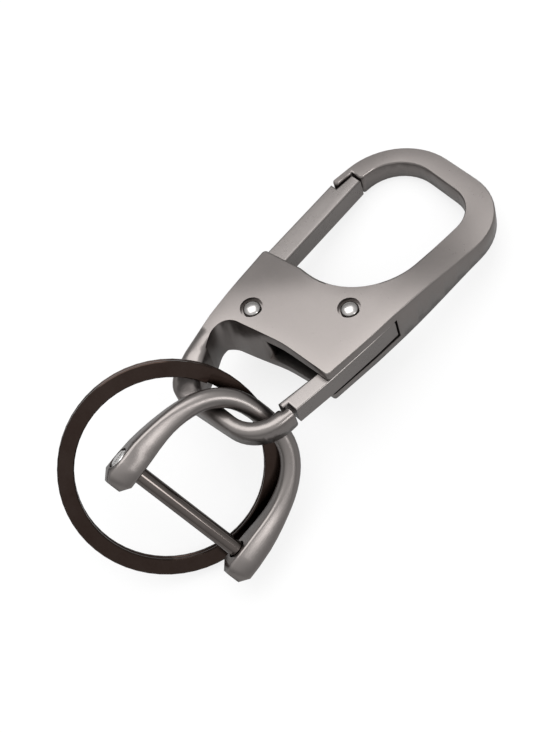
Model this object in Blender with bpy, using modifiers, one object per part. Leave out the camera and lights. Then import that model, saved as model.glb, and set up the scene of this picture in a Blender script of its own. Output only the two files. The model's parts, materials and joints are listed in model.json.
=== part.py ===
"""A detachable keychain: a clip with two spring gates, a split ring and a screw shackle.

Everything is drawn in the clip's own frame, in metres: X points to the spine, Y to the hook, Z out
of the front face, and the origin lies midway between the two rivets. One empty then lays the whole
keychain on the table, leaning on the hook and on the ring.
"""
import math

import bmesh
import bpy
from mathutils import Matrix, Vector

# Clip outline, seen from the front
SPINE_X = 0.0142
SPINE_BULGE = 0.0003
SPINE_BULGE_Y = 0.0040
SPINE_BULGE_R = 0.0600
HOOK_SPAN = 0.0319
HOOK_TOP = 0.0419
HOOK_NOSE_R = 0.0132
HOOK_TILT = 0.0003
HOOK_SHOULDER_R = 0.0110
HOOK_BAR = 0.0040
SPINE_TOP_W = 0.0063
SPINE_LOW_W = 0.0046
HOOK_WINDOW_NOSE_R = 0.0085
HOOK_WINDOW_TILT = 0.0008
HOOK_WINDOW_SHOULDER_R = 0.0064
HOOK_FLOOR = 0.0059
HOOK_FLOOR_R = 0.0132
HOOK_FLOOR_RISE = 0.0003
HOOK_FLOOR_LEFT = 0.0067
HOOK_FLOOR_LEFT_R = 0.0040
NOSE_W = 0.0038
NOSE_DROP = 0.0136
LIP_W = 0.0013
LIP_LENGTH = 0.0041
SHELL_CORNER = (-0.0156, 0.0049)
SHELL_CORNER_R = 0.0008
SHELL_BOTTOM = -0.0067
ARM_KNEE = (-0.0120, -0.0118)
ARM_KNEE_R = 0.0150
ARM_END = (-0.0073, -0.0268)
ARM_END_R = 0.0034
ARCH_LEFT = (-0.0088, -0.0101)
ARCH_MID = (0.0030, -0.0074)
ARCH_MID_R = 0.0200
ARCH_LEFT_R = 0.0028
ARCH_DRAFT = 0.0014
ARCH_DRAFT_FADE = 0.0030
ARM_INNER = (-0.0090, -0.0136)
ARM_INNER_R = 0.0040
LOOP_BAR = 0.0028
LOOP_OUTER_R = 0.0083
LOOP_INNER_R = 0.0051
LOOP_TILT = 0.0016
LOOP_INNER_LEFT = 0.0041
LOOP_INNER_LEFT_R = 0.0022
LOOP_BOTTOM = -0.0256
LOOP_NOSE_TOP = -0.0148
LOOP_NOSE_STEP = 0.0013
LOOP_NOSE_OUTER_W = 0.0019
LOOP_SET = 0.0001

# Clip thickness
SHELL_HALF = 0.0043
BAR_HALF = 0.0022
CROWN_DROP = 0.0009
TAPER_DROP = 0.0049
TAPER_START = 0.0090
TAPER_FOOT = 0.0050
TAPER_REACH = 0.0065
TAPER_RISE = 0.0062
CROWN_START = 0.0050
CROWN_END = 0.0230
SLICE = 0.0035
EDGE_ROUND = 0.0005
CORNER_R = 0.0006

# Hollow of the shell
CAVITY_HALF = 0.0025
EDGE_WALL = 0.00105
SIDE_WALL = 0.0014
CAVITY_KNEE_Y = -0.0085
CAVITY_FOOT_X = -0.0100
CUT_OUT = 0.0060
CUT_OVER = 0.0020
MOUTH_X = -0.0050
SIDE_OPEN_Y = -0.0012
SIDE_SLOT_TOP = 0.0098
ARCH_SLOT_X = -0.0004

# Gates, rivets and springs
GATE_HALF = 0.0022
GATE_ROUND = 0.0004
GATE_W = 0.0040
GATE_FLARE = 0.0004
GATE_SET = 0.0002
HEEL_SET = 0.0001
GATE_GAP = 0.0004
RUN_GAP = 0.0003
UPPER_PIVOT = (-0.0070, -0.0057)
LOWER_PIVOT = (0.0070, 0.0056)
HUB_R = 0.0023
RIVET_R = 0.0010
RIVET_HEAD_R = 0.0017
RIVET_HEAD_H = 0.0008
COUNTERBORE_R = 0.00215
COUNTERBORE_DEPTH = 0.0009
LOWER_GATE_W = 0.0030
LOWER_GATE_PROUD = 0.0001
LOWER_GATE_LAP = 0.0008
LOWER_BLOCK_W = 0.0034
WIRE_R = 0.00022
COIL_R = 0.00175
COIL_PITCH = 0.00095
COIL_TURNS = 1.5
COIL_LEG = 0.0024
SPRING_POCKET_HALF = 0.0013

# Split ring
RING_R = 0.01999
RING_BAND = 0.0030
RING_COIL = 0.00078
RING_COIL_GAP = 0.00044
RING_EDGE = 0.0002
RING_JOG = math.radians(26)
RING_SEAM = math.radians(-81)
RING_LINK = (-0.00049, -0.02397, -0.00006)
RING_HANG = (-0.06676, 0.88651, 0.45787)
RING_NORMAL = (0.72187, -0.27388, 0.63552)
RING_PLAY = 0.00402

# Shackle
SHACKLE_HALF = 0.01380
SHACKLE_HEIGHT = 0.02125
SHACKLE_CURVE = 2.693
SHACKLE_SECTION = 0.00364
SHACKLE_FOOT = 0.0044
FOOT_SECTION = 0.0048
FOOT_CHAMFER = 0.0018
FOOT_CHAMFER_IN = 0.0010
FOOT_ROW_Y = 0.0020
LEG_SLIM_Y = 0.0110
LEG_SQUARE_Y = 0.0060
BOW_ROUND_Y = 0.0190
FOOT_EDGE_R = 0.0006
SHACKLE_LINK = (0.0057, -0.0236, 0.0)
SHACKLE_APEX = (0.00798, -0.01810, -0.00169)
SHACKLE_ACROSS = (0.64567, 0.20099, -0.73669)
SHACKLE_UP = (-0.07704, 0.97696, 0.19902)
BAR_R = 0.0015
SCREW_HEAD_R = 0.00178
SCREW_HEAD_H = 0.0009
SCREW_HEAD_EDGE = 0.0002
SCREW_HEAD_SINK = 0.0001
SCREW_SLOT_W = 0.00055
SCREW_SLOT_DEPTH = 0.0004
SCREW_SLOT_TURN = math.radians(8)
SCREW_TIP = 0.0003
THREAD_DEPTH = 0.0026

# Rest on the table
REST_UP = (0.1868, -0.1885, 0.9641)

ROUND_STEPS = 32
CORNER_STEPS = 5


for old in list(bpy.data.objects):
    bpy.data.objects.remove(old, do_unlink=True)
keychain = bpy.data.collections.new("valet_keychain")
cutters = bpy.data.collections.new("cutters")
bpy.context.scene.collection.children.link(keychain)
bpy.context.scene.collection.children.link(cutters)


def material(name, colour, roughness, metallic=1.0):
    """A Principled material with one colour."""
    made = bpy.data.materials.new(name)
    made.use_nodes = True
    shader = made.node_tree.nodes["Principled BSDF"]
    shader.inputs["Base Color"].default_value = (*colour, 1.0)
    shader.inputs["Roughness"].default_value = roughness
    shader.inputs["Metallic"].default_value = metallic
    made.diffuse_color = (*colour, 1.0)
    return made


gunmetal = material("satin_gunmetal", (0.30, 0.28, 0.27), 0.38)
gate_metal = material("gate_gunmetal", (0.31, 0.29, 0.28), 0.36)
ring_metal = material("black_nickel", (0.075, 0.062, 0.058), 0.18)
bar_metal = material("polished_black_nickel", (0.16, 0.14, 0.13), 0.10)
rivet_metal = material("rivet_chrome", (0.62, 0.61, 0.60), 0.12)
spring_metal = material("spring_steel", (0.45, 0.45, 0.46), 0.30)


def add_object(name, mesh, place, collection, finish=None):
    """Put a mesh in the scene under a parent, with its material and smooth rounds."""
    made = bpy.data.objects.new(name, mesh)
    collection.objects.link(made)
    made.parent = place
    if finish:
        mesh.materials.append(finish)
        mesh.shade_smooth()
        mesh.set_sharp_from_angle(angle=math.radians(35))
    else:
        made.display_type = "WIRE"
        made.hide_render = True
    return made


def finish_mesh(name, bm):
    """Turn a bmesh into a mesh with its faces pointing out."""
    bmesh.ops.recalc_face_normals(bm, faces=bm.faces)
    mesh = bpy.data.meshes.new(name)
    bm.to_mesh(mesh)
    bm.free()
    return mesh


def empty(name, parent, location=(0, 0, 0)):
    """An empty that carries what turns or lies together."""
    made = bpy.data.objects.new(name, None)
    keychain.objects.link(made)
    made.parent = parent
    made.location = location
    return made


def rounded(corners, tolerance=0.00002):
    """Points round a closed outline of (x, y, radius) corners, each arc within the tolerance."""
    points = []
    for index, (x, y, radius) in enumerate(corners):
        here = Vector((x, y))
        back = (Vector(corners[index - 1][:2]) - here).normalized()
        ahead = (Vector(corners[(index + 1) % len(corners)][:2]) - here).normalized()
        turn = math.pi - back.angle(ahead)
        if radius == 0 or turn < 0.01:
            points.append(here)
            continue
        side = 1 if back.x * ahead.y - back.y * ahead.x < 0 else -1
        centre = here + (back + ahead).normalized() * radius / math.cos(turn / 2)
        spoke = here + back * radius * math.tan(turn / 2) - centre
        steps = max(2, math.ceil(turn / (2 * math.acos(1 - min(0.5, tolerance / radius)))))
        for step in range(steps + 1):
            points.append(centre + Matrix.Rotation(side * turn * step / steps, 2) @ spoke)
    return points


def loft(rings):
    """A bmesh through rings of points, closed by a face at each end."""
    bm = bmesh.new()
    rows = [[bm.verts.new(point) for point in ring] for ring in rings]
    for low, high in zip(rows, rows[1:]):
        for index in range(len(low)):
            after = (index + 1) % len(low)
            bm.faces.new((low[index], low[after], high[after], high[index]))
    bm.faces.new(reversed(rows[0]))
    bm.faces.new(rows[-1])
    return bm


def inset(outline, amount):
    """The outline moved inwards by an amount, each corner along its mitre."""
    area = sum(p.cross(q) for p, q in zip(outline, outline[1:] + outline[:1]))
    side = 1 if area > 0 else -1
    moved = []
    for index, here in enumerate(outline):
        back = (here - outline[index - 1]).normalized()
        ahead = (outline[(index + 1) % len(outline)] - here).normalized()
        normal = Vector((-back.y - ahead.y, back.x + ahead.x)).normalized() * side
        lean = normal.dot(Vector((-back.y, back.x))) * side
        moved.append(here + normal * amount / lean)
    return moved


def prism(outline, half, edge=0.0):
    """An outline as a bmesh block of plus and minus half, its front and back edges rounded."""
    levels = [(0.0, half)]
    if edge:
        levels = [(edge * (1 - math.sin(a)), half - edge * (1 - math.cos(a)))
                  for a in (0, math.pi / 6, math.pi / 3, math.pi / 2)]
    rings = [[(p.x, p.y, z) for p in inset(outline, inward)] for inward, z in levels]
    under = [[(x, y, -z) for x, y, z in ring] for ring in rings]
    bm = loft(under + rings[::-1])
    bmesh.ops.recalc_face_normals(bm, faces=bm.faces)
    return bm


def cutter(name, outline, half, place, middle=(0, 0, 0)):
    """A prism that only cuts."""
    made = add_object(name, finish_mesh(name, prism(outline, half)), place, cutters)
    made.location = middle
    return made


def turned(name, profile, place, collection, finish=None, location=(0, 0, 0)):
    """A profile of (radius, height), top to bottom, turned about its own Z."""
    mesh = bpy.data.meshes.new(name)
    mesh.from_pydata([(r, 0, z) for r, z in profile], [(i, i + 1) for i in range(len(profile) - 1)], [])
    made = add_object(name, mesh, place, collection, finish)
    made.location = location
    screw = made.modifiers.new("turn", "SCREW")
    screw.axis = "Z"
    screw.steps = ROUND_STEPS
    screw.render_steps = ROUND_STEPS
    screw.use_merge_vertices = True
    screw.merge_threshold = 0.000001
    screw.use_smooth_shade = True
    return made


def cut(target, tool, operation="DIFFERENCE"):
    """Boolean one object by another."""
    step = target.modifiers.new(tool.name, "BOOLEAN")
    step.operation = operation
    step.object = tool
    step.solver = "EXACT"


def skin(name, rings):
    """A loft as a mesh."""
    return finish_mesh(name, loft(rings))


def basis(across, up):
    """A matrix whose X is across, whose Y is up made square to it, and whose Z completes them."""
    x = Vector(across).normalized()
    y = (Vector(up) - x * Vector(up).dot(x)).normalized()
    return Matrix((x, y, x.cross(y))).transposed()


def smoothstep(low, high, value):
    """0 below low, 1 above high, and a soft step between."""
    t = min(1.0, max(0.0, (value - low) / (high - low)))
    return t * t * (3 - 2 * t)


# The keychain's empty lies in the clip's frame and is turned to rest on the table at the end
rest = empty("keychain_rest", None)

HOOK_LEFT = SPINE_X - HOOK_SPAN
WINDOW_TOP = HOOK_TOP - HOOK_BAR
NOSE_FACE_Y = HOOK_TOP - NOSE_DROP
TAPER_TOP = HOOK_TOP - TAPER_DROP
WINDOW_RIGHT_TOP = SPINE_X - SPINE_TOP_W
WINDOW_RIGHT_LOW = SPINE_X - SPINE_LOW_W
WINDOW_LEFT = HOOK_LEFT + NOSE_W
LOOP_RIGHT = SPINE_X - LOOP_SET
LOOP_NOSE_LOW = LOOP_NOSE_TOP - LOOP_NOSE_STEP


def clip_outline():
    """Corners of the clip, from the nose lip over the hook, down the spine and round the loop."""
    return rounded([
        (HOOK_LEFT, NOSE_FACE_Y - LIP_LENGTH, CORNER_R),
        (HOOK_LEFT + LIP_W, NOSE_FACE_Y - LIP_LENGTH, CORNER_R),
        (HOOK_LEFT + LIP_W, NOSE_FACE_Y, 0.0),
        (WINDOW_LEFT, NOSE_FACE_Y, CORNER_R),
        (WINDOW_LEFT, WINDOW_TOP, HOOK_WINDOW_NOSE_R),
        (WINDOW_RIGHT_TOP, WINDOW_TOP - HOOK_WINDOW_TILT, HOOK_WINDOW_SHOULDER_R),
        (WINDOW_RIGHT_LOW, HOOK_FLOOR, HOOK_FLOOR_R),
        (-HOOK_FLOOR_LEFT, HOOK_FLOOR + HOOK_FLOOR_RISE, HOOK_FLOOR_LEFT_R),
        (*SHELL_CORNER, SHELL_CORNER_R),
        (*ARM_KNEE, ARM_KNEE_R),
        (*ARM_END, ARM_END_R),
        (LOOP_RIGHT, LOOP_BOTTOM + LOOP_TILT, LOOP_OUTER_R),
        (LOOP_RIGHT, LOOP_NOSE_TOP, CORNER_R),
        (LOOP_RIGHT - LOOP_NOSE_OUTER_W, LOOP_NOSE_TOP, CORNER_R),
        (LOOP_RIGHT - LOOP_NOSE_OUTER_W, LOOP_NOSE_LOW, 0.0),
        (LOOP_RIGHT - LOOP_BAR, LOOP_NOSE_LOW, CORNER_R),
        (LOOP_RIGHT - LOOP_BAR, LOOP_BOTTOM + LOOP_BAR + LOOP_TILT / 2, LOOP_INNER_R),
        (ARM_END[0] + LOOP_INNER_LEFT, LOOP_BOTTOM + LOOP_BAR, LOOP_INNER_LEFT_R),
        (*ARM_INNER, ARM_INNER_R),
        (*ARCH_LEFT, ARCH_LEFT_R),
        (*ARCH_MID, ARCH_MID_R),
        (SPINE_X, SHELL_BOTTOM, CORNER_R),
        (SPINE_X + SPINE_BULGE, SPINE_BULGE_Y, SPINE_BULGE_R),
        (SPINE_X, HOOK_TOP - HOOK_TILT, HOOK_SHOULDER_R),
        (HOOK_LEFT, HOOK_TOP, HOOK_NOSE_R),
    ])


def clip_half(x, y):
    """Half the clip's thickness at a place: full in the shell, thin at the hook and the loop."""
    full = 1 - smoothstep(TAPER_START, TAPER_TOP, y)
    if y < SHELL_BOTTOM - TAPER_FOOT:
        along = (x - ARCH_LEFT[0]) * 0.6 + (ARM_END[1] + TAPER_RISE - y) * 0.8
        full *= 1 - smoothstep(0.0, TAPER_REACH, along)
    crown = CROWN_DROP * smoothstep(CROWN_START, CROWN_END, y - x)
    return BAR_HALF + (SHELL_HALF - BAR_HALF) * full - crown * full


def arch_line(x):
    """The arch's lower edge at an x."""
    slope = (ARCH_MID[1] - ARCH_LEFT[1]) / (ARCH_MID[0] - ARCH_LEFT[0])
    if x > ARCH_MID[0]:
        slope = (SHELL_BOTTOM - ARCH_MID[1]) / (SPINE_X - ARCH_MID[0])
    return ARCH_MID[1] + slope * (x - ARCH_MID[0])


def arch_draft(x, y, z):
    """How far the arch's wall drops towards the back."""
    sides = smoothstep(ARCH_LEFT[0] - ARCH_DRAFT_FADE, ARCH_LEFT[0], x)
    sides *= 1 - smoothstep(ARCH_LEFT[0], LOOP_RIGHT, x)
    near = 1 - smoothstep(0.0, ARCH_DRAFT_FADE, abs(y - arch_line(x)))
    return ARCH_DRAFT * sides * near * (SHELL_HALF - z) / (2 * SHELL_HALF)


def slices(low, high):
    """Evenly spaced places between two ends, a slice apart."""
    count = round((high - low) / SLICE)
    return [low + (high - low) * k / count for k in range(1, count)]


def hook_frame_mesh():
    """The clip as a block with rounded edges, sliced so that its faces can follow the thickness."""
    bm = prism(clip_outline(), SHELL_HALF, EDGE_ROUND)
    caps = [f for f in bm.faces if len(f.verts) > 8]
    bmesh.ops.triangulate(bm, faces=caps)
    around = COUNTERBORE_R + CORNER_R
    pivots = (UPPER_PIVOT, LOWER_PIVOT)
    for level in slices(ARM_END[1], HOOK_TOP) + [p[1] + s * around for p in pivots for s in (-1, 1)]:
        bmesh.ops.bisect_plane(bm, geom=bm.verts[:] + bm.edges[:] + bm.faces[:], dist=0.0000001,
                               plane_co=(0, level, 0), plane_no=(0, 1, 0))
    for level in slices(HOOK_LEFT, SPINE_X)[::2] + [p[0] + s * around for p in pivots for s in (-1, 1)]:
        bmesh.ops.bisect_plane(bm, geom=bm.verts[:] + bm.edges[:] + bm.faces[:], dist=0.0000001,
                               plane_co=(level, 0, 0), plane_no=(1, 0, 0))
    for vert in bm.verts:
        x, y, z = vert.co
        vert.co.z -= math.copysign(SHELL_HALF - clip_half(x, y), z)
        vert.co.y -= arch_draft(x, y, z)
    bmesh.ops.triangulate(bm, faces=bm.faces)
    return finish_mesh("hook_frame", bm)


hook_frame = add_object("hook_frame", hook_frame_mesh(), rest, keychain, gunmetal)


def floor_arc(radius, low_x, high_y):
    """Points under the hook's floor, parallel to it at a radius, from one x up to one y."""
    centre = Vector((WINDOW_RIGHT_LOW - HOOK_FLOOR_R, HOOK_FLOOR + HOOK_FLOOR_R))
    start = -math.pi / 2
    end = -math.asin((centre.y - high_y) / radius)
    arc = [centre + radius * Vector((math.cos(start + (end - start) * k / 10),
                                     math.sin(start + (end - start) * k / 10))) for k in range(11)]
    return [Vector((low_x, arc[0].y))] + arc


def cavity_outline():
    """The shell's hollow: open at the gate's mouth, at the side slot and into the arch."""
    slope = (ARCH_MID[1] - ARCH_LEFT[1]) / (ARCH_MID[0] - ARCH_LEFT[0])
    arch_rise = EDGE_WALL * math.hypot(1, slope)

    def arch_y(x):
        return ARCH_LEFT[1] + slope * (x - ARCH_LEFT[0]) + arch_rise

    def side_x(y):
        lean = (ARM_KNEE[0] - SHELL_CORNER[0]) / (ARM_KNEE[1] - SHELL_CORNER[1])
        return SHELL_CORNER[0] + lean * (y - SHELL_CORNER[1]) + SIDE_WALL

    out = CUT_OUT
    left = [
        Vector((MOUTH_X, HOOK_FLOOR + out)),
        Vector((SHELL_CORNER[0] - out, HOOK_FLOOR + out)),
        Vector((SHELL_CORNER[0] - out, SIDE_OPEN_Y)),
        Vector((side_x(SIDE_OPEN_Y), SIDE_OPEN_Y)),
        Vector((side_x(CAVITY_KNEE_Y), CAVITY_KNEE_Y)),
        Vector((CAVITY_FOOT_X, arch_y(CAVITY_FOOT_X))),
        Vector((ARCH_SLOT_X, arch_y(ARCH_SLOT_X))),
        Vector((ARCH_SLOT_X, SHELL_BOTTOM - out)),
        Vector((SPINE_X + out, SHELL_BOTTOM - out)),
        Vector((SPINE_X + out, SIDE_SLOT_TOP)),
    ]
    arc = floor_arc(HOOK_FLOOR_R + EDGE_WALL, MOUTH_X, SIDE_SLOT_TOP)
    return left + arc[::-1]


cut(hook_frame, cutter("shell_hollow", cavity_outline(), CAVITY_HALF, rest))


def rivet_seat(name, pivot):
    """The rivet's hole through both walls, with a counterbore in each face."""
    deep = SHELL_HALF - COUNTERBORE_DEPTH
    top = SHELL_HALF + CUT_OVER
    hole = RIVET_R + RUN_GAP
    profile = [(0, top), (COUNTERBORE_R, top), (COUNTERBORE_R, deep), (hole, deep),
               (hole, -deep), (COUNTERBORE_R, -deep), (COUNTERBORE_R, -top), (0, -top)]
    return turned(name, profile, rest, cutters, location=(*pivot, 0))


cut(hook_frame, rivet_seat("upper_rivet_seat", UPPER_PIVOT))
cut(hook_frame, rivet_seat("lower_rivet_seat", LOWER_PIVOT))


def rivet(name, pivot):
    """A rivet with a domed head seated in the counterbore at each face."""
    seat = SHELL_HALF - COUNTERBORE_DEPTH + RUN_GAP
    dome = []
    for k in range(7):
        angle = math.radians(90 - 15 * k)
        dome.append((RIVET_HEAD_R * math.cos(angle), seat + RIVET_HEAD_H * math.sin(angle)))
    dome[0] = (0, seat + RIVET_HEAD_H)
    profile = dome + [(RIVET_R, seat)]
    profile += [(r, -z) for r, z in reversed(profile)]
    return turned(name, profile, rest, keychain, rivet_metal, (*pivot, 0))


rivet("upper_gate_rivet", UPPER_PIVOT)
rivet("lower_gate_rivet", LOWER_PIVOT)


def about(pivot, points):
    """Points moved so that a pivot is their origin."""
    return [p - Vector(pivot) for p in points]


def tangent(centre, radius, point, side):
    """Where a line from a point touches a circle, on one side."""
    to = Vector(point) - Vector(centre)
    turn = side * math.acos(radius / to.length)
    return Vector(centre) + Matrix.Rotation(turn, 2) @ to.normalized() * radius


def hub_arc(centre, start, end, steps=10):
    """Points round a hub from one tangent point to the other, counterclockwise."""
    first = math.atan2(start.y - centre[1], start.x - centre[0])
    last = math.atan2(end.y - centre[1], end.x - centre[0])
    if last < first:
        last += 2 * math.pi
    return [Vector(centre) + HUB_R * Vector((math.cos(first + (last - first) * k / steps),
                                             math.sin(first + (last - first) * k / steps)))
            for k in range(steps + 1)]


def shell_left(y):
    """The shell's left edge at a height."""
    lean = (ARM_KNEE[0] - SHELL_CORNER[0]) / (ARM_KNEE[1] - SHELL_CORNER[1])
    return SHELL_CORNER[0] + lean * (y - SHELL_CORNER[1])


def upper_gate_outline():
    """The long gate: hub, heel in the shell's open side, and the tip behind the nose lip."""
    tip_y = NOSE_FACE_Y - GATE_GAP
    step_y = NOSE_FACE_Y - LIP_LENGTH - GATE_GAP
    lip_x = HOOK_LEFT + LIP_W + GATE_GAP
    outer_top = Vector((HOOK_LEFT + GATE_SET, step_y))
    outer_low = Vector((shell_left(SHELL_CORNER[1]) + GATE_SET, SHELL_CORNER[1]))
    heel = Vector((shell_left(SIDE_OPEN_Y + RUN_GAP) + HEEL_SET, SIDE_OPEN_Y + RUN_GAP))
    heel_in = Vector((heel.x + SIDE_WALL + RUN_GAP, heel.y))
    inner_top = Vector((HOOK_LEFT + GATE_W, tip_y))
    inner_low = Vector((outer_low.x + GATE_W + GATE_FLARE, outer_low.y))
    left = tangent(UPPER_PIVOT, HUB_R, heel_in, 1)
    right = tangent(UPPER_PIVOT, HUB_R, inner_low, -1)
    hub = hub_arc(UPPER_PIVOT, left, right)
    return [outer_top, outer_low, heel, heel_in] + hub + [inner_low, inner_top, Vector((lip_x, tip_y)),
                                                          Vector((lip_x, step_y))]


def lower_gate_outline():
    """The short gate: hub, block flush in the side slot, and the tip that laps the loop's nose."""
    outer = SPINE_X + LOWER_GATE_PROUD
    top = SIDE_SLOT_TOP - GATE_GAP
    tip_y = LOOP_NOSE_TOP + GATE_GAP + HEEL_SET
    lip_y = LOOP_NOSE_LOW + GATE_GAP + HEEL_SET
    nose_inner = LOOP_RIGHT - LOOP_NOSE_OUTER_W
    tip_in = LOOP_RIGHT - LOOP_BAR - LOWER_GATE_LAP
    block = Vector((outer - LOWER_BLOCK_W, top))
    inner_low = Vector((outer - LOWER_GATE_W, SHELL_BOTTOM))
    high = tangent(LOWER_PIVOT, HUB_R, block, 1)
    low = tangent(LOWER_PIVOT, HUB_R, inner_low, -1)
    hub = hub_arc(LOWER_PIVOT, high, low)
    return [Vector((outer, top)), block] + hub + [
        inner_low, Vector((tip_in, lip_y)), Vector((nose_inner - GATE_GAP, lip_y)),
        Vector((nose_inner - GATE_GAP, tip_y)), Vector((LOOP_RIGHT - GATE_SET, tip_y)),
        Vector((outer, SHELL_BOTTOM)), Vector((SPINE_X + SPINE_BULGE * 0.8, SPINE_BULGE_Y)),
    ]


def gate(name, outline, pivot, slot_angle):
    """A gate with its origin on the pivot, bored for the rivet and pocketed for the spring."""
    axis = empty(name + "_pivot", rest, (*pivot, 0))
    mesh = finish_mesh(name, prism(about(pivot, outline), GATE_HALF, GATE_ROUND))
    made = add_object(name, mesh, axis, keychain, gate_metal)
    tall = GATE_HALF + CUT_OVER
    hole = RIVET_R + RUN_GAP
    pocket = HUB_R + RUN_GAP
    half = SPRING_POCKET_HALF
    profile = [(0, tall), (hole, tall), (hole, half), (pocket, half),
               (pocket, -half), (hole, -half), (hole, -tall), (0, -tall)]
    cut(made, turned(name + "_bore", profile, axis, cutters))
    width = 2 * WIRE_R + 2 * RUN_GAP
    mid = COIL_R
    reach = COIL_LEG + 2 * WIRE_R + RUN_GAP
    slot = [Vector(p) for p in ((0, mid - width / 2), (reach, mid - width / 2),
                                (reach, mid + width / 2), (0, mid + width / 2))]
    slot = [Matrix.Rotation(slot_angle, 2) @ p for p in slot]
    cut(made, cutter(name + "_leg_slot", slot, half, axis))
    return axis


UPPER_LEG = math.radians(118)
LOWER_LEG = math.radians(-72)
upper_axis = gate("upper_gate", upper_gate_outline(), UPPER_PIVOT, UPPER_LEG)
lower_axis = gate("lower_gate", lower_gate_outline(), LOWER_PIVOT, LOWER_LEG)


def spring_points(leg_angle, turns_sign):
    """A torsion coil round the rivet with one leg in the gate's slot and one to the shell."""
    points = []
    steps = round(COIL_TURNS * 12)
    low = -COIL_PITCH * COIL_TURNS / 2
    for k in range(steps + 1):
        angle = math.pi / 2 - turns_sign * 2 * math.pi * k / 12
        points.append(Vector((COIL_R * math.cos(angle), COIL_R * math.sin(angle),
                              low + COIL_PITCH * k / 12)))
    first_way = Vector((turns_sign, 0, 0))
    last = points[-1]
    last_way = Vector((points[-1] - points[-2]).xy.normalized().to_tuple() + (0.0,))
    run = [points[0] + first_way * COIL_LEG] + points + [last + last_way * COIL_LEG * 0.35]
    return [Matrix.Rotation(leg_angle, 3, "Z") @ p for p in run]


def least_gap(points, wire):
    """The least distance between parts of the wire that lie more than half a turn apart."""
    least = 1.0
    for i, one in enumerate(points):
        for other in points[i + 7:]:
            least = min(least, (one - other).length - 2 * wire)
    return least


def spring(name, axis, leg_angle, turns_sign):
    """A wire spring as one tube."""
    points = spring_points(leg_angle, turns_sign)
    print(f"{name}: least gap to itself {least_gap(points, WIRE_R) * 1000:.2f} mm")
    curve = bpy.data.curves.new(name, "CURVE")
    curve.dimensions = "3D"
    curve.bevel_depth = WIRE_R
    curve.bevel_resolution = 1
    curve.use_fill_caps = True
    line = curve.splines.new("POLY")
    line.points.add(len(points) - 1)
    for spot, point in zip(line.points, points):
        spot.co = (*point, 1.0)
    guide = bpy.data.objects.new(name + "_wire", curve)
    cutters.objects.link(guide)
    tube = bpy.data.meshes.new_from_object(guide.evaluated_get(bpy.context.evaluated_depsgraph_get()))
    bpy.data.objects.remove(guide)
    bm = bmesh.new()
    bm.from_mesh(tube)
    bmesh.ops.remove_doubles(bm, verts=bm.verts, dist=0.000001)
    mesh = finish_mesh(name, bm)
    bpy.data.meshes.remove(tube)
    made = add_object(name, mesh, axis, keychain, spring_metal)
    return made


spring("upper_gate_spring", upper_axis, UPPER_LEG, 1)
spring("lower_gate_spring", lower_axis, LOWER_LEG, 1)


def ring_mesh():
    """Two coils of one flat strip that change places in a short jog."""
    inner = RING_R - RING_BAND
    rise = RING_COIL + RING_COIL_GAP
    half = RING_COIL / 2
    e = RING_EDGE
    section = [(inner, -half + e), (inner + e, -half), (RING_R - e, -half), (RING_R, -half + e),
               (RING_R, half - e), (RING_R - e, half), (inner + e, half), (inner, half - e)]
    margin = RING_JOG * 0.62
    turns = [margin + (4 * math.pi - 2 * margin) * k / 112 for k in range(113)]
    rings = []
    for turn in turns:
        level = rise * (0.5 - smoothstep(-RING_JOG / 2, RING_JOG / 2, turn - 2 * math.pi))
        face = RING_SEAM + turn
        rings.append([Vector((r * math.cos(face), r * math.sin(face), z + level)) for r, z in section])
    return skin("split_ring", rings)


# The ring hangs on the loop: its inner edge goes round the bar with some play
link = Vector(RING_LINK)
ring_turn = empty("ring_link", rest, link)
hang = Vector(RING_HANG).normalized()
ring_normal = Vector(RING_NORMAL).normalized()
ring_centre = -hang * (RING_R - RING_BAND - RING_PLAY)
split_ring = add_object("split_ring", ring_mesh(), ring_turn, keychain, ring_metal)
across = hang.cross(ring_normal)
split_ring.matrix_local = Matrix.Translation(ring_centre) @ basis(across, -hang).to_4x4()
print(f"split_ring: least gap between coils {RING_COIL_GAP * 1000:.2f} mm")


def shackle_path(steps=36):
    """Centre line of the bow from foot to foot: straight legs and a flattened arch."""
    power = 2 / SHACKLE_CURVE
    line = []
    for k in range(steps + 1):
        a = math.pi * (1 - k / steps)
        c, s = math.cos(a), math.sin(a)
        line.append(Vector((SHACKLE_HALF * math.copysign(abs(c) ** power, c),
                            SHACKLE_HEIGHT * max(0.0, s) ** power, 0)))
    return line


def shackle_mesh():
    """A bow that is round at the top and squares off towards its chamfered feet."""
    foot_rows = (-SHACKLE_FOOT, -SHACKLE_FOOT + FOOT_CHAMFER, -FOOT_ROW_Y)
    path = [Vector((-SHACKLE_HALF, y, 0)) for y in foot_rows]
    path += shackle_path()
    path += [Vector((SHACKLE_HALF, y, 0)) for y in reversed(foot_rows)]
    rings = []
    last = len(path) - 1
    for index, spot in enumerate(path):
        ahead = path[min(index + 1, last)] - path[max(index - 1, 0)]
        ahead.normalize()
        out = Vector((-ahead.y, ahead.x, 0))
        round_up = smoothstep(LEG_SQUARE_Y, BOW_ROUND_Y, spot.y)
        slim = smoothstep(0.0, LEG_SLIM_Y, spot.y)
        size = FOOT_SECTION + (SHACKLE_SECTION - FOOT_SECTION) * slim
        if index in (0, last):
            size -= 2 * FOOT_CHAMFER_IN
        corner = FOOT_EDGE_R + (size / 2 - FOOT_EDGE_R) * round_up
        flat = size / 2 - corner
        ring = []
        for quarter in range(4):
            turn = Matrix.Rotation(quarter * math.pi / 2, 2)
            for k in range(CORNER_STEPS + 1):
                a = math.pi / 2 * k / CORNER_STEPS
                u, v = turn @ Vector((flat + corner * math.cos(a), flat + corner * math.sin(a)))
                ring.append(spot + out * u + Vector((0, 0, v)))
        rings.append(ring)
    return skin("shackle_bow", rings)


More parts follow.
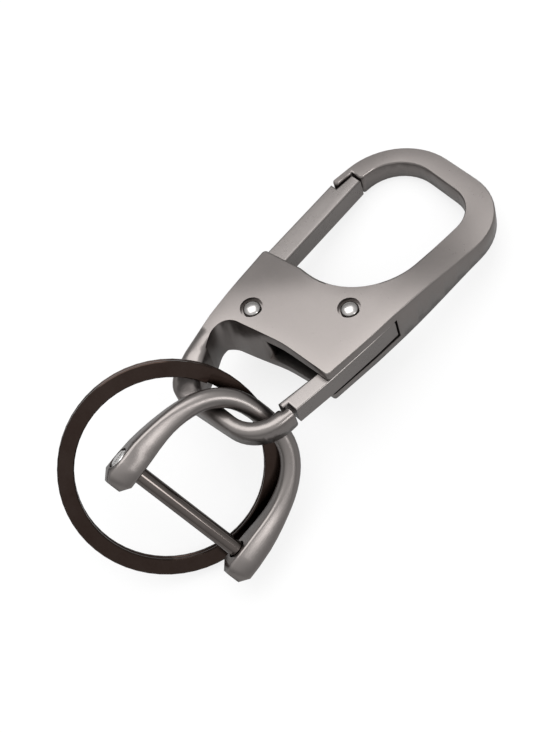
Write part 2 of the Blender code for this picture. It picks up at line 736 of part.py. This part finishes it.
# The shackle hangs on the loop by its bow, so its apex is placed and the feet follow
shackle_basis = basis(SHACKLE_ACROSS, SHACKLE_UP)
shackle_link = empty("shackle_link", rest, SHACKLE_LINK)
shackle = empty("shackle", shackle_link)
apex = Vector(SHACKLE_APEX) - Vector(SHACKLE_LINK)
shackle.matrix_local = (Matrix.Translation(apex - shackle_basis.col[1] * SHACKLE_HEIGHT)
                        @ shackle_basis.to_4x4())
bow = add_object("shackle_bow", shackle_mesh(), shackle, keychain, gunmetal)

FOOT_OUT = SHACKLE_HALF + FOOT_SECTION / 2
FOOT_IN = SHACKLE_HALF - FOOT_SECTION / 2
ALONG_BAR = Matrix.Rotation(-math.pi / 2, 4, "Y")
bar_hole = BAR_R + RUN_GAP
head_hole = SCREW_HEAD_R + RUN_GAP
head_seat = FOOT_OUT - SCREW_HEAD_SINK - SCREW_HEAD_H - RUN_GAP

# Z of the turned tools runs from the right foot to the left one, out through the screw's head
left_bore = turned("left_foot_bore", [
    (0, FOOT_OUT + CUT_OVER), (head_hole, FOOT_OUT + CUT_OVER), (head_hole, head_seat),
    (bar_hole, head_seat), (bar_hole, FOOT_IN - CUT_OVER), (0, FOOT_IN - CUT_OVER)], shackle, cutters)
left_bore.matrix_local = ALONG_BAR
cut(bow, left_bore)
right_bore = turned("right_foot_bore", [
    (0, -FOOT_IN + CUT_OVER), (bar_hole, -FOOT_IN + CUT_OVER), (bar_hole, -FOOT_IN - THREAD_DEPTH),
    (0, -FOOT_IN - THREAD_DEPTH)], shackle, cutters)
right_bore.matrix_local = ALONG_BAR
cut(bow, right_bore)

head_low = head_seat + RUN_GAP
head_top = head_low + SCREW_HEAD_H
bar_end = -FOOT_IN - THREAD_DEPTH + RUN_GAP
screw_bar = turned("shackle_screw_bar", [
    (0, head_top), (SCREW_HEAD_R - SCREW_HEAD_EDGE, head_top), (SCREW_HEAD_R, head_top - SCREW_HEAD_EDGE),
    (SCREW_HEAD_R, head_low), (BAR_R, head_low), (BAR_R, bar_end + SCREW_TIP),
    (BAR_R - SCREW_TIP, bar_end), (0, bar_end)], shackle, keychain, bar_metal)
screw_bar.matrix_local = ALONG_BAR
slot_half = SCREW_SLOT_W / 2
slot_reach = SCREW_HEAD_R + CUT_OVER
screw_slot = cutter("screw_slot", [Vector((-slot_half, -slot_reach)), Vector((slot_half, -slot_reach)),
                                   Vector((slot_half, slot_reach)), Vector((-slot_half, slot_reach))],
                    SCREW_SLOT_DEPTH, shackle)
screw_slot.matrix_local = (ALONG_BAR @ Matrix.Translation((0, 0, head_top))
                           @ Matrix.Rotation(SCREW_SLOT_TURN, 4, "Z"))
cut(screw_bar, screw_slot)


def lay_down():
    """Turn the keychain so that its table side is down, and centre it over the origin."""
    up = Vector(REST_UP).normalized()
    long_way = Vector((0, 1, 0))
    y = (long_way - up * long_way.dot(up)).normalized()
    turn = Matrix((y.cross(up), y, up))
    rest.matrix_world = turn.to_4x4()
    bpy.context.view_layer.update()
    depsgraph = bpy.context.evaluated_depsgraph_get()
    low = Vector((1, 1, 1))
    high = Vector((-1, -1, -1))
    for piece in keychain.objects:
        if piece.type != "MESH":
            continue
        shown = piece.evaluated_get(depsgraph)
        for vert in shown.data.vertices:
            spot = shown.matrix_world @ vert.co
            low = Vector(map(min, low, spot))
            high = Vector(map(max, high, spot))
    middle = (low + high) / 2
    rest.location = (-middle.x, -middle.y, -low.z)
    bpy.context.view_layer.update()


lay_down()
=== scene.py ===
# %% [markdown]
# A detachable keychain lies on a pale table: a flat clip with a spring gate at each end, a split
# ring and a D-shaped screw shackle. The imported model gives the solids, all in metres and in one
# frame. This lesson gives every piece its finish, smooth shading, light and a camera.

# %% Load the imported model
import json
import math

import bpy
from mathutils import Matrix, Vector, kdtree

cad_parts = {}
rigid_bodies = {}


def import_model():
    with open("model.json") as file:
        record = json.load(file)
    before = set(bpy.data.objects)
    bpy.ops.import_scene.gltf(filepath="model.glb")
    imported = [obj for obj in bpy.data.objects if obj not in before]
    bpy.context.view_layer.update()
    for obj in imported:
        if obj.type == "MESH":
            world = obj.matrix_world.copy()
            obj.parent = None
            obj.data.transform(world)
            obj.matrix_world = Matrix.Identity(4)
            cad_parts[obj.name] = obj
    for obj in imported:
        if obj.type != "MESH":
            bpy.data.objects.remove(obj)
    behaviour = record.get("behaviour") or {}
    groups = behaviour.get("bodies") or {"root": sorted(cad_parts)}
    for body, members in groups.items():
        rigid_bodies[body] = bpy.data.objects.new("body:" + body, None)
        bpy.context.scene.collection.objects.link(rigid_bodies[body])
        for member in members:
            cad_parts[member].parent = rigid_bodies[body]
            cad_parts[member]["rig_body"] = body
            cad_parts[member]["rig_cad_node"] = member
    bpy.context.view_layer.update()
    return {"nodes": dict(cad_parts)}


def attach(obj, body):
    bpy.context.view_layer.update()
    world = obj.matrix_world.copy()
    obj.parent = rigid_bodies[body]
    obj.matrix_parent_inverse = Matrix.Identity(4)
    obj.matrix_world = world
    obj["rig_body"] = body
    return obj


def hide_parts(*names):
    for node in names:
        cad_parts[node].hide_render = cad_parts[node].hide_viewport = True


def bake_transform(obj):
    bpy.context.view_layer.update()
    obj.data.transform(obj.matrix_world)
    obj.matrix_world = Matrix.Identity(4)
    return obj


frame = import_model()

# %% [markdown]
# The camera stands about 26 cm away, above the clip's spine and leaning to it, so the clip runs up
# to the right. A lens is given by how many picture heights away the picture plane would lie, which
# is worked out here for an image of 550 by 733. The lens and the distance are assumed. The directions
# were judged from the round rivet seats, which show as ellipses, and from the clip's outline.

# %% Camera
IMAGE = (550, 733)
FOCAL_PIXELS = 1400.0
EYE = Vector((0.08829, -0.01492, 0.24700))
TO_RIGHT = Vector((0.68457, 0.69362, -0.22450))
FORWARD = Vector((-0.35570, 0.04904, -0.93331)).normalized()

bpy.ops.object.select_all(action="DESELECT")
bpy.ops.object.camera_add(location=EYE)
camera = bpy.context.active_object
right = (TO_RIGHT - FORWARD * TO_RIGHT.dot(FORWARD)).normalized()
camera.rotation_euler = Matrix((right, right.cross(FORWARD), -FORWARD)).transposed().to_euler()
camera.data.sensor_fit = "VERTICAL"
camera.data.sensor_height = 24.0
camera.data.lens = FOCAL_PIXELS * camera.data.sensor_height / IMAGE[1]
camera.data.clip_start = 0.01
bpy.context.scene.camera = camera
print("lens in mm:", round(camera.data.lens, 2))

# %% [markdown]
# Materials are built from nodes, and node maths is easier to read as plain expressions. The small
# class below wraps an output socket, so that adding, subtracting or multiplying two of them makes
# the Math node and its links.


# %% Shader maths as expressions
class Wire:
    """An output socket that can be used in sums and products."""

    def __init__(self, tree, socket):
        self.tree = tree
        self.socket = socket

    def math(self, operation, first, second=None):
        values = {0: first} if second is None else {0: first, 1: second}
        return node(self.tree, "ShaderNodeMath", {"operation": operation}, values)

    def __add__(self, other):
        return self.math("ADD", self, other)

    def __radd__(self, other):
        return self.math("ADD", other, self)

    def __sub__(self, other):
        return self.math("SUBTRACT", self, other)

    def __rsub__(self, other):
        return self.math("SUBTRACT", other, self)

    def __mul__(self, other):
        return self.math("MULTIPLY", self, other)

    def __rmul__(self, other):
        return self.math("MULTIPLY", other, self)


def node(tree, kind, settings=None, values=None, output=0):
    """Any node: its settings are set first, then its sockets get values or links."""
    made = tree.nodes.new(kind)
    for name, value in (settings or {}).items():
        setattr(made, name, value)
    for name, value in (values or {}).items():
        if isinstance(value, Wire):
            tree.links.new(value.socket, made.inputs[name])
        else:
            made.inputs[name].default_value = value
    return Wire(tree, made.outputs[output])


def noise(tree, place, size, detail=2.0):
    """Noise whose spots are about a size across, in metres, from 0 to 1."""
    return node(tree, "ShaderNodeTexNoise", values={"Vector": place, "Scale": 1.0 / size,
                                                   "Detail": detail, "Roughness": 0.55})


def between(tree, mask, low, high):
    """A number that runs from low to high as the mask runs from 0.3 to 0.7."""
    return node(tree, "ShaderNodeMapRange", values={0: mask, 1: 0.3, 2: 0.7, 3: low, 4: high})


def mix_colours(tree, mask, first, second):
    """A colour that runs from the first to the second by the mask."""
    return node(tree, "ShaderNodeMix", {"data_type": "RGBA"},
                {0: mask, 6: first, 7: second}, output=2)


# %% [markdown]
# The clip looks like a casting that was bead-blasted and then plated, which leaves a very fine grain
# that blurs its reflections, and faint clouds. One recipe makes all the metals: a dark and a light
# tint mixed by clouds, a roughness that varies a little, and a bump of fine grain. The tints and the
# roughness were tuned by spot colours against the photograph, together with the lamps.


# %% A recipe for plated metal
CLOUD_SIZE = 0.006
GRAIN_SIZE = 0.00012
SPECK_SIZE = GRAIN_SIZE * 4
GRAIN_DEPTH = 0.00002


def plated_metal(title, dark, light, rough_low, rough_high, grain):
    """Metal with clouds of tint and roughness and a fine grain, all in metres."""
    material = bpy.data.materials.new(title)
    material.use_nodes = True
    tree = material.node_tree
    shader = tree.nodes["Principled BSDF"]
    place = node(tree, "ShaderNodeTexCoord", output=3)
    clouds = noise(tree, place, CLOUD_SIZE, 3.0)
    specks = noise(tree, place, SPECK_SIZE, 2.0)
    fine = noise(tree, place, GRAIN_SIZE, 1.0)
    tint = mix_colours(tree, between(tree, clouds * 0.7 + specks * 0.3, 0.0, 1.0),
                       (*dark, 1.0), (*light, 1.0))
    rough = between(tree, clouds * 0.5 + specks * 0.5, rough_low, rough_high)
    bump = node(tree, "ShaderNodeBump",
                values={"Height": fine, "Strength": grain, "Distance": GRAIN_DEPTH})
    tree.links.new(tint.socket, shader.inputs["Base Color"])
    tree.links.new(rough.socket, shader.inputs["Roughness"])
    tree.links.new(bump.socket, shader.inputs["Normal"])
    shader.inputs["Metallic"].default_value = 1.0
    return material


gunmetal = plated_metal("satin_gunmetal", (0.232, 0.212, 0.203), (0.250, 0.229, 0.219), 0.27, 0.32, 0.16)
gate_metal = plated_metal("gate_gunmetal", (0.232, 0.214, 0.206), (0.250, 0.231, 0.222), 0.26, 0.31, 0.16)
ring_metal = plated_metal("black_nickel", (0.034, 0.022, 0.018), (0.047, 0.034, 0.029), 0.13, 0.18, 0.05)
bar_metal = plated_metal("polished_black_nickel", (0.13, 0.112, 0.105), (0.16, 0.14, 0.13), 0.07, 0.11, 0.03)
rivet_metal = plated_metal("rivet_chrome", (0.40, 0.385, 0.375), (0.46, 0.445, 0.435), 0.18, 0.24, 0.03)
wire_metal = plated_metal("drawn_spring_wire", (0.40, 0.40, 0.41), (0.50, 0.50, 0.51), 0.22, 0.34, 0.10)

# %% [markdown]
# The slotted screw head is one piece with its bar, but shows bright where it mirrors the white room. That
# brightness is a painted highlight: the head gets a pale colour and a roughness of its own. A bar has a
# simple direction, so how far a point lies along it tells the head from the rest, and one material does both.

# %% A painted highlight on the screw head
BAR_WARD = Vector((-0.77401, -0.08420, 0.62755))
HEAD_LENGTH = 0.0010


def paint_head_highlight(material, colour, roughness, start):
    """Paint the end of the bar past a distance along it with a colour and roughness of its own, as a painted
    highlight.
    """
    tree = material.node_tree
    shader = tree.nodes["Principled BSDF"]
    place = node(tree, "ShaderNodeTexCoord", output=3)
    along = node(tree, "ShaderNodeVectorMath", {"operation": "DOT_PRODUCT"},
                 {0: place, 1: tuple(BAR_WARD)}, output=1)
    painted_highlight = along.math("GREATER_THAN", along, start)
    tint = Wire(tree, shader.inputs["Base Color"].links[0].from_socket)
    rough = Wire(tree, shader.inputs["Roughness"].links[0].from_socket)
    mixed = mix_colours(tree, painted_highlight, tint, (*colour, 1.0))
    smooth = rough * (1 - painted_highlight) + painted_highlight * roughness
    tree.links.new(mixed.socket, shader.inputs["Base Color"])
    tree.links.new(smooth.socket, shader.inputs["Roughness"])


# %% [markdown]
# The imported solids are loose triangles. A copy whose corners are merged can be shaded smooth, which
# its rounded edges need. The copy then stands for the solid, which stays for the physics.


# %% Smooth copies of the solids
MERGE_WITHIN = 0.000002


def smooth_copy(solid, title, body, finish, angle=38.0):
    """A merged, smooth copy of a solid that rides its body and shows in its place."""
    source = frame["nodes"][solid]
    bpy.ops.object.select_all(action="DESELECT")
    source.select_set(True)
    bpy.context.view_layer.objects.active = source
    bpy.ops.object.duplicate()
    piece = bpy.context.active_object
    bpy.ops.object.parent_clear(type="CLEAR_KEEP_TRANSFORM")
    piece.name = title
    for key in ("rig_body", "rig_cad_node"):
        if key in piece:
            del piece[key]
    bpy.ops.mesh.customdata_custom_splitnormals_clear()
    bpy.ops.object.mode_set(mode="EDIT")
    bpy.ops.mesh.select_mode(type="EDGE")
    bpy.ops.mesh.select_all(action="SELECT")
    bpy.ops.mesh.remove_doubles(threshold=MERGE_WITHIN)
    bpy.ops.mesh.faces_shade_smooth()
    bpy.ops.mesh.select_all(action="DESELECT")
    bpy.ops.mesh.edges_select_sharp(sharpness=math.radians(angle))
    bpy.ops.mesh.mark_sharp()
    bpy.ops.object.mode_set(mode="OBJECT")
    weighted = piece.modifiers.new("even_light", "WEIGHTED_NORMAL")
    weighted.keep_sharp = True
    bpy.ops.object.modifier_apply(modifier=weighted.name)
    piece.data.materials.clear()
    piece.data.materials.append(finish)
    if body:
        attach(piece, body)
    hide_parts(solid)
    print(title, len(piece.data.polygons), "faces")
    return piece


# %% [markdown]
# The clip's front and back are gently crowned, but they are made of flat strips, and the cuts for
# the rivets leave long thin triangles that catch the light unevenly. The cure is a field of smooth
# directions: points are spread over each broad face, and every corner takes the average direction
# of the points near it, the nearest counting most. The shape itself doesn't change. The blur is wide
# on the broad faces and narrow on rounds and walls, where a wide one would smear the edges. Seen from
# the side, the spine, the arm and the inside of the hook still show faint ripples.

# %% Even out the broad faces
SPINE_WARD = Vector((0.98174, 0.03586, 0.18681)).normalized()
HOOK_WARD = Vector((0.0, 0.98207, -0.18851)).normalized()
FRONT = SPINE_WARD.cross(HOOK_WARD).normalized()
FACE_BLUR = 0.0016
WALL_BLUR = 0.0010
LOOP_BLUR = 0.0007
ROUND_BLUR = 0.0004
BOW_BLUR = 0.00035
GRID = 0.0014
GRID_START = 0.37
LOOP_TOP = -0.0104
CLIP_ACROSS = -0.00092
CLIP_ALONG = 0.00488
ARCH_ACROSS = (-0.0112, 0.0115)
ARCH_ALONG = (-0.0160, -0.0045)


def cut_grid(piece):
    """Cut a piece into a grid across the clip, so that directions can vary over its broad faces."""
    bpy.ops.object.select_all(action="DESELECT")
    piece.select_set(True)
    bpy.context.view_layer.objects.active = piece
    bpy.ops.object.mode_set(mode="EDIT")
    for way in (SPINE_WARD, HOOK_WARD):
        reach = [vertex.co.dot(way) for vertex in piece.data.vertices]
        for step in range(math.ceil(min(reach) / GRID), math.floor(max(reach) / GRID) + 1):
            bpy.ops.mesh.select_all(action="SELECT")
            bpy.ops.mesh.bisect(plane_co=way * (step + GRID_START) * GRID, plane_no=way)
    bpy.ops.mesh.select_all(action="SELECT")
    bpy.ops.mesh.quads_convert_to_tris()
    bpy.ops.object.mode_set(mode="OBJECT")


def even_light(piece, blur, wanted, least):
    """Turn the corners of the wanted faces to the average direction of the faces around them."""
    mesh = piece.data
    samples = []
    broad = set()
    for face in mesh.polygons:
        if not wanted(face):
            continue
        broad.update(face.vertices)
        a, b, c = (mesh.vertices[i].co for i in face.vertices)
        steps = max(1, math.ceil(max((a - b).length, (b - c).length, (c - a).length) / (0.4 * blur)))
        share = face.area / (steps * steps)
        for i in range(steps):
            for j in range(steps - i):
                spot = a + (b - a) * ((i + 0.33) / steps) + (c - a) * ((j + 0.33) / steps)
                samples.append((spot, face.normal * share))
    tree = kdtree.KDTree(len(samples))
    for index, (spot, push) in enumerate(samples):
        tree.insert(spot, index)
    tree.balance()
    normals = [Vector(corner.vector) for corner in mesh.corner_normals]
    even = {}
    for corner in broad:
        total = Vector((0, 0, 0))
        for spot, index, distance in tree.find_range(mesh.vertices[corner].co, 2.0 * blur):
            total += samples[index][1] * math.exp(-0.5 * (distance / blur) ** 2)
        even[corner] = total.normalized()
    for face in mesh.polygons:
        for loop in face.loop_indices:
            turned = even.get(mesh.loops[loop].vertex_index)
            if turned is not None and face.normal.dot(turned) > least:
                normals[loop] = turned
    mesh.normals_split_custom_set(normals)
    print(piece.name, "evened corners:", len(broad), "from", len(samples), "points")


def inside_arch(face):
    """Whether a face lies on the wall of the arch under the shell."""
    across = face.center.dot(SPINE_WARD) - CLIP_ACROSS
    along = face.center.dot(HOOK_WARD) - CLIP_ALONG
    inside = ARCH_ACROSS[0] < across < ARCH_ACROSS[1] and ARCH_ALONG[0] < along < ARCH_ALONG[1]
    return abs(face.normal.dot(FRONT)) < 0.9 and inside


clip = smooth_copy("hook_frame", "clip", "root", gunmetal)
cut_grid(clip)
even_light(clip, ROUND_BLUR, lambda face: abs(face.normal.dot(FRONT)) < 0.999, 0.80)
even_light(clip, FACE_BLUR, lambda face: face.normal.dot(FRONT) > 0.96, 0.86)
even_light(clip, FACE_BLUR, lambda face: face.normal.dot(FRONT) < -0.96, 0.86)
even_light(clip, LOOP_BLUR, lambda face: face.center.dot(HOOK_WARD) < LOOP_TOP, 0.70)
even_light(clip, WALL_BLUR, inside_arch, 0.70)
smooth_copy("upper_gate", "hook_gate", "upper_gate", gate_metal)
smooth_copy("lower_gate", "loop_gate", "lower_gate", gate_metal)
smooth_copy("upper_gate_rivet", "left_rivet", "root", rivet_metal)
smooth_copy("lower_gate_rivet", "right_rivet", "root", rivet_metal)
smooth_copy("split_ring", "key_ring", "split_ring", ring_metal, 30.0)
bow = smooth_copy("shackle_bow", "bow", "shackle", gunmetal)
even_light(bow, BOW_BLUR, lambda face: True, 0.80)
bar = smooth_copy("shackle_screw_bar", "screw_bar", "screw_bar", bar_metal)
bar_end = max(vertex.co.dot(BAR_WARD) for vertex in bar.data.vertices)
# The pale colour on the head is a painted highlight, standing in for the white it mirrors.
paint_head_highlight(bar_metal, (0.85, 0.84, 0.83), 0.30, bar_end - HEAD_LENGTH)

# %% [markdown]
# The springs can't be seen in the photograph, so they are a guess at what shuts the gates. Each gate
# has a torsion spring: a coil round the rivet with one leg against the shell
# and one in the gate. When the gate opens, the real coil winds up along its length. Here each coil is
# a smooth copy of its solid that rides no body, so it stays in place and doesn't follow the gate.


def coil(solid, title):
    """A torsion spring as a smooth copy of its solid, fixed in place."""
    piece = smooth_copy(solid, title, None, wire_metal, 60.0)
    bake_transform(piece)


coil("upper_gate_spring", "hook_spring")
coil("lower_gate_spring", "loop_spring")

# %% [markdown]
# The table is a plain white sheet. For rays that come from the camera, or that metal mirrors, part
# of its colour is a steady white, so it stays bright behind the object and still takes a soft shadow.

# %% Table
bpy.ops.object.select_all(action="DESELECT")
bpy.ops.mesh.primitive_plane_add(size=6.0, location=(0, 0, 0))
table = bpy.context.active_object
table.name = "table"
paper = bpy.data.materials.new("white_table")
paper.use_nodes = True
tree = paper.node_tree
tree.nodes["Principled BSDF"].inputs["Roughness"].default_value = 0.7
rays = tree.nodes.new("ShaderNodeLightPath")
mirrored = Wire(tree, rays.outputs["Is Glossy Ray"]) + Wire(tree, rays.outputs["Is Transmission Ray"])
camera_ray = Wire(tree, rays.outputs["Is Camera Ray"])
sheet = mix_colours(tree, camera_ray, (0.42, 0.42, 0.42, 1.0), (0.95, 0.95, 0.95, 1.0))
tree.links.new(sheet.socket, tree.nodes["Principled BSDF"].inputs["Base Color"])
seen = camera_ray * 0.78 + mirrored * 0.10
steady = node(tree, "ShaderNodeEmission", values={"Color": (1, 1, 1, 1), "Strength": 1.0})
body = Wire(tree, tree.nodes["Principled BSDF"].outputs[0])
surface = node(tree, "ShaderNodeMixShader", values={0: seen, 1: body, 2: steady})
tree.links.new(surface.socket, tree.nodes["Material Output"].inputs["Surface"])
table.data.materials.append(paper)

# %% [markdown]
# Satin metal shows the room more than its own colour, so the light matters as much as the finish.
# One wide soft lamp hangs above on the left, a smaller and weaker one stands on the right, and the
# room brightens from a grey horizon to the top. The lamps were placed where the clip's faces and
# edges mirror them to the camera, so the bright bands fall about where the photograph has them.


# %% Lights and room
def soft_lamp(title, place, aim, size, power):
    """A square lamp of a size in metres that looks at a point."""
    bpy.ops.object.light_add(type="AREA", location=place)
    lamp = bpy.context.active_object
    lamp.name = title
    lamp.rotation_euler = (Vector(aim) - Vector(place)).to_track_quat("-Z", "Y").to_euler()
    lamp.data.size = size
    lamp.data.energy = power


soft_lamp("main_lamp", (-0.333, 0.174, 0.706), (0, 0, 0), 0.70, 3.4)
soft_lamp("right_lamp", (0.55, 0.25, 0.50), (0, 0, 0), 0.25, 0.9)

world = bpy.data.worlds.new("studio")
bpy.context.scene.world = world
world.use_nodes = True
room = world.node_tree
backdrop = room.nodes["Background"]
height = node(room, "ShaderNodeSeparateXYZ", values={0: node(room, "ShaderNodeTexCoord", output=0)}, output=2)
glow = node(room, "ShaderNodeMapRange", values={0: height, 1: 0.0, 2: 1.0, 3: 0.32, 4: 1.10})
camera_ray = node(room, "ShaderNodeLightPath", output=0)
strength = glow * (1 - camera_ray) + camera_ray
room.links.new(strength.socket, backdrop.inputs["Strength"])
backdrop.inputs["Color"].default_value = (1.0, 1.0, 1.0, 1.0)
bpy.context.scene.view_settings.view_transform = "Standard"
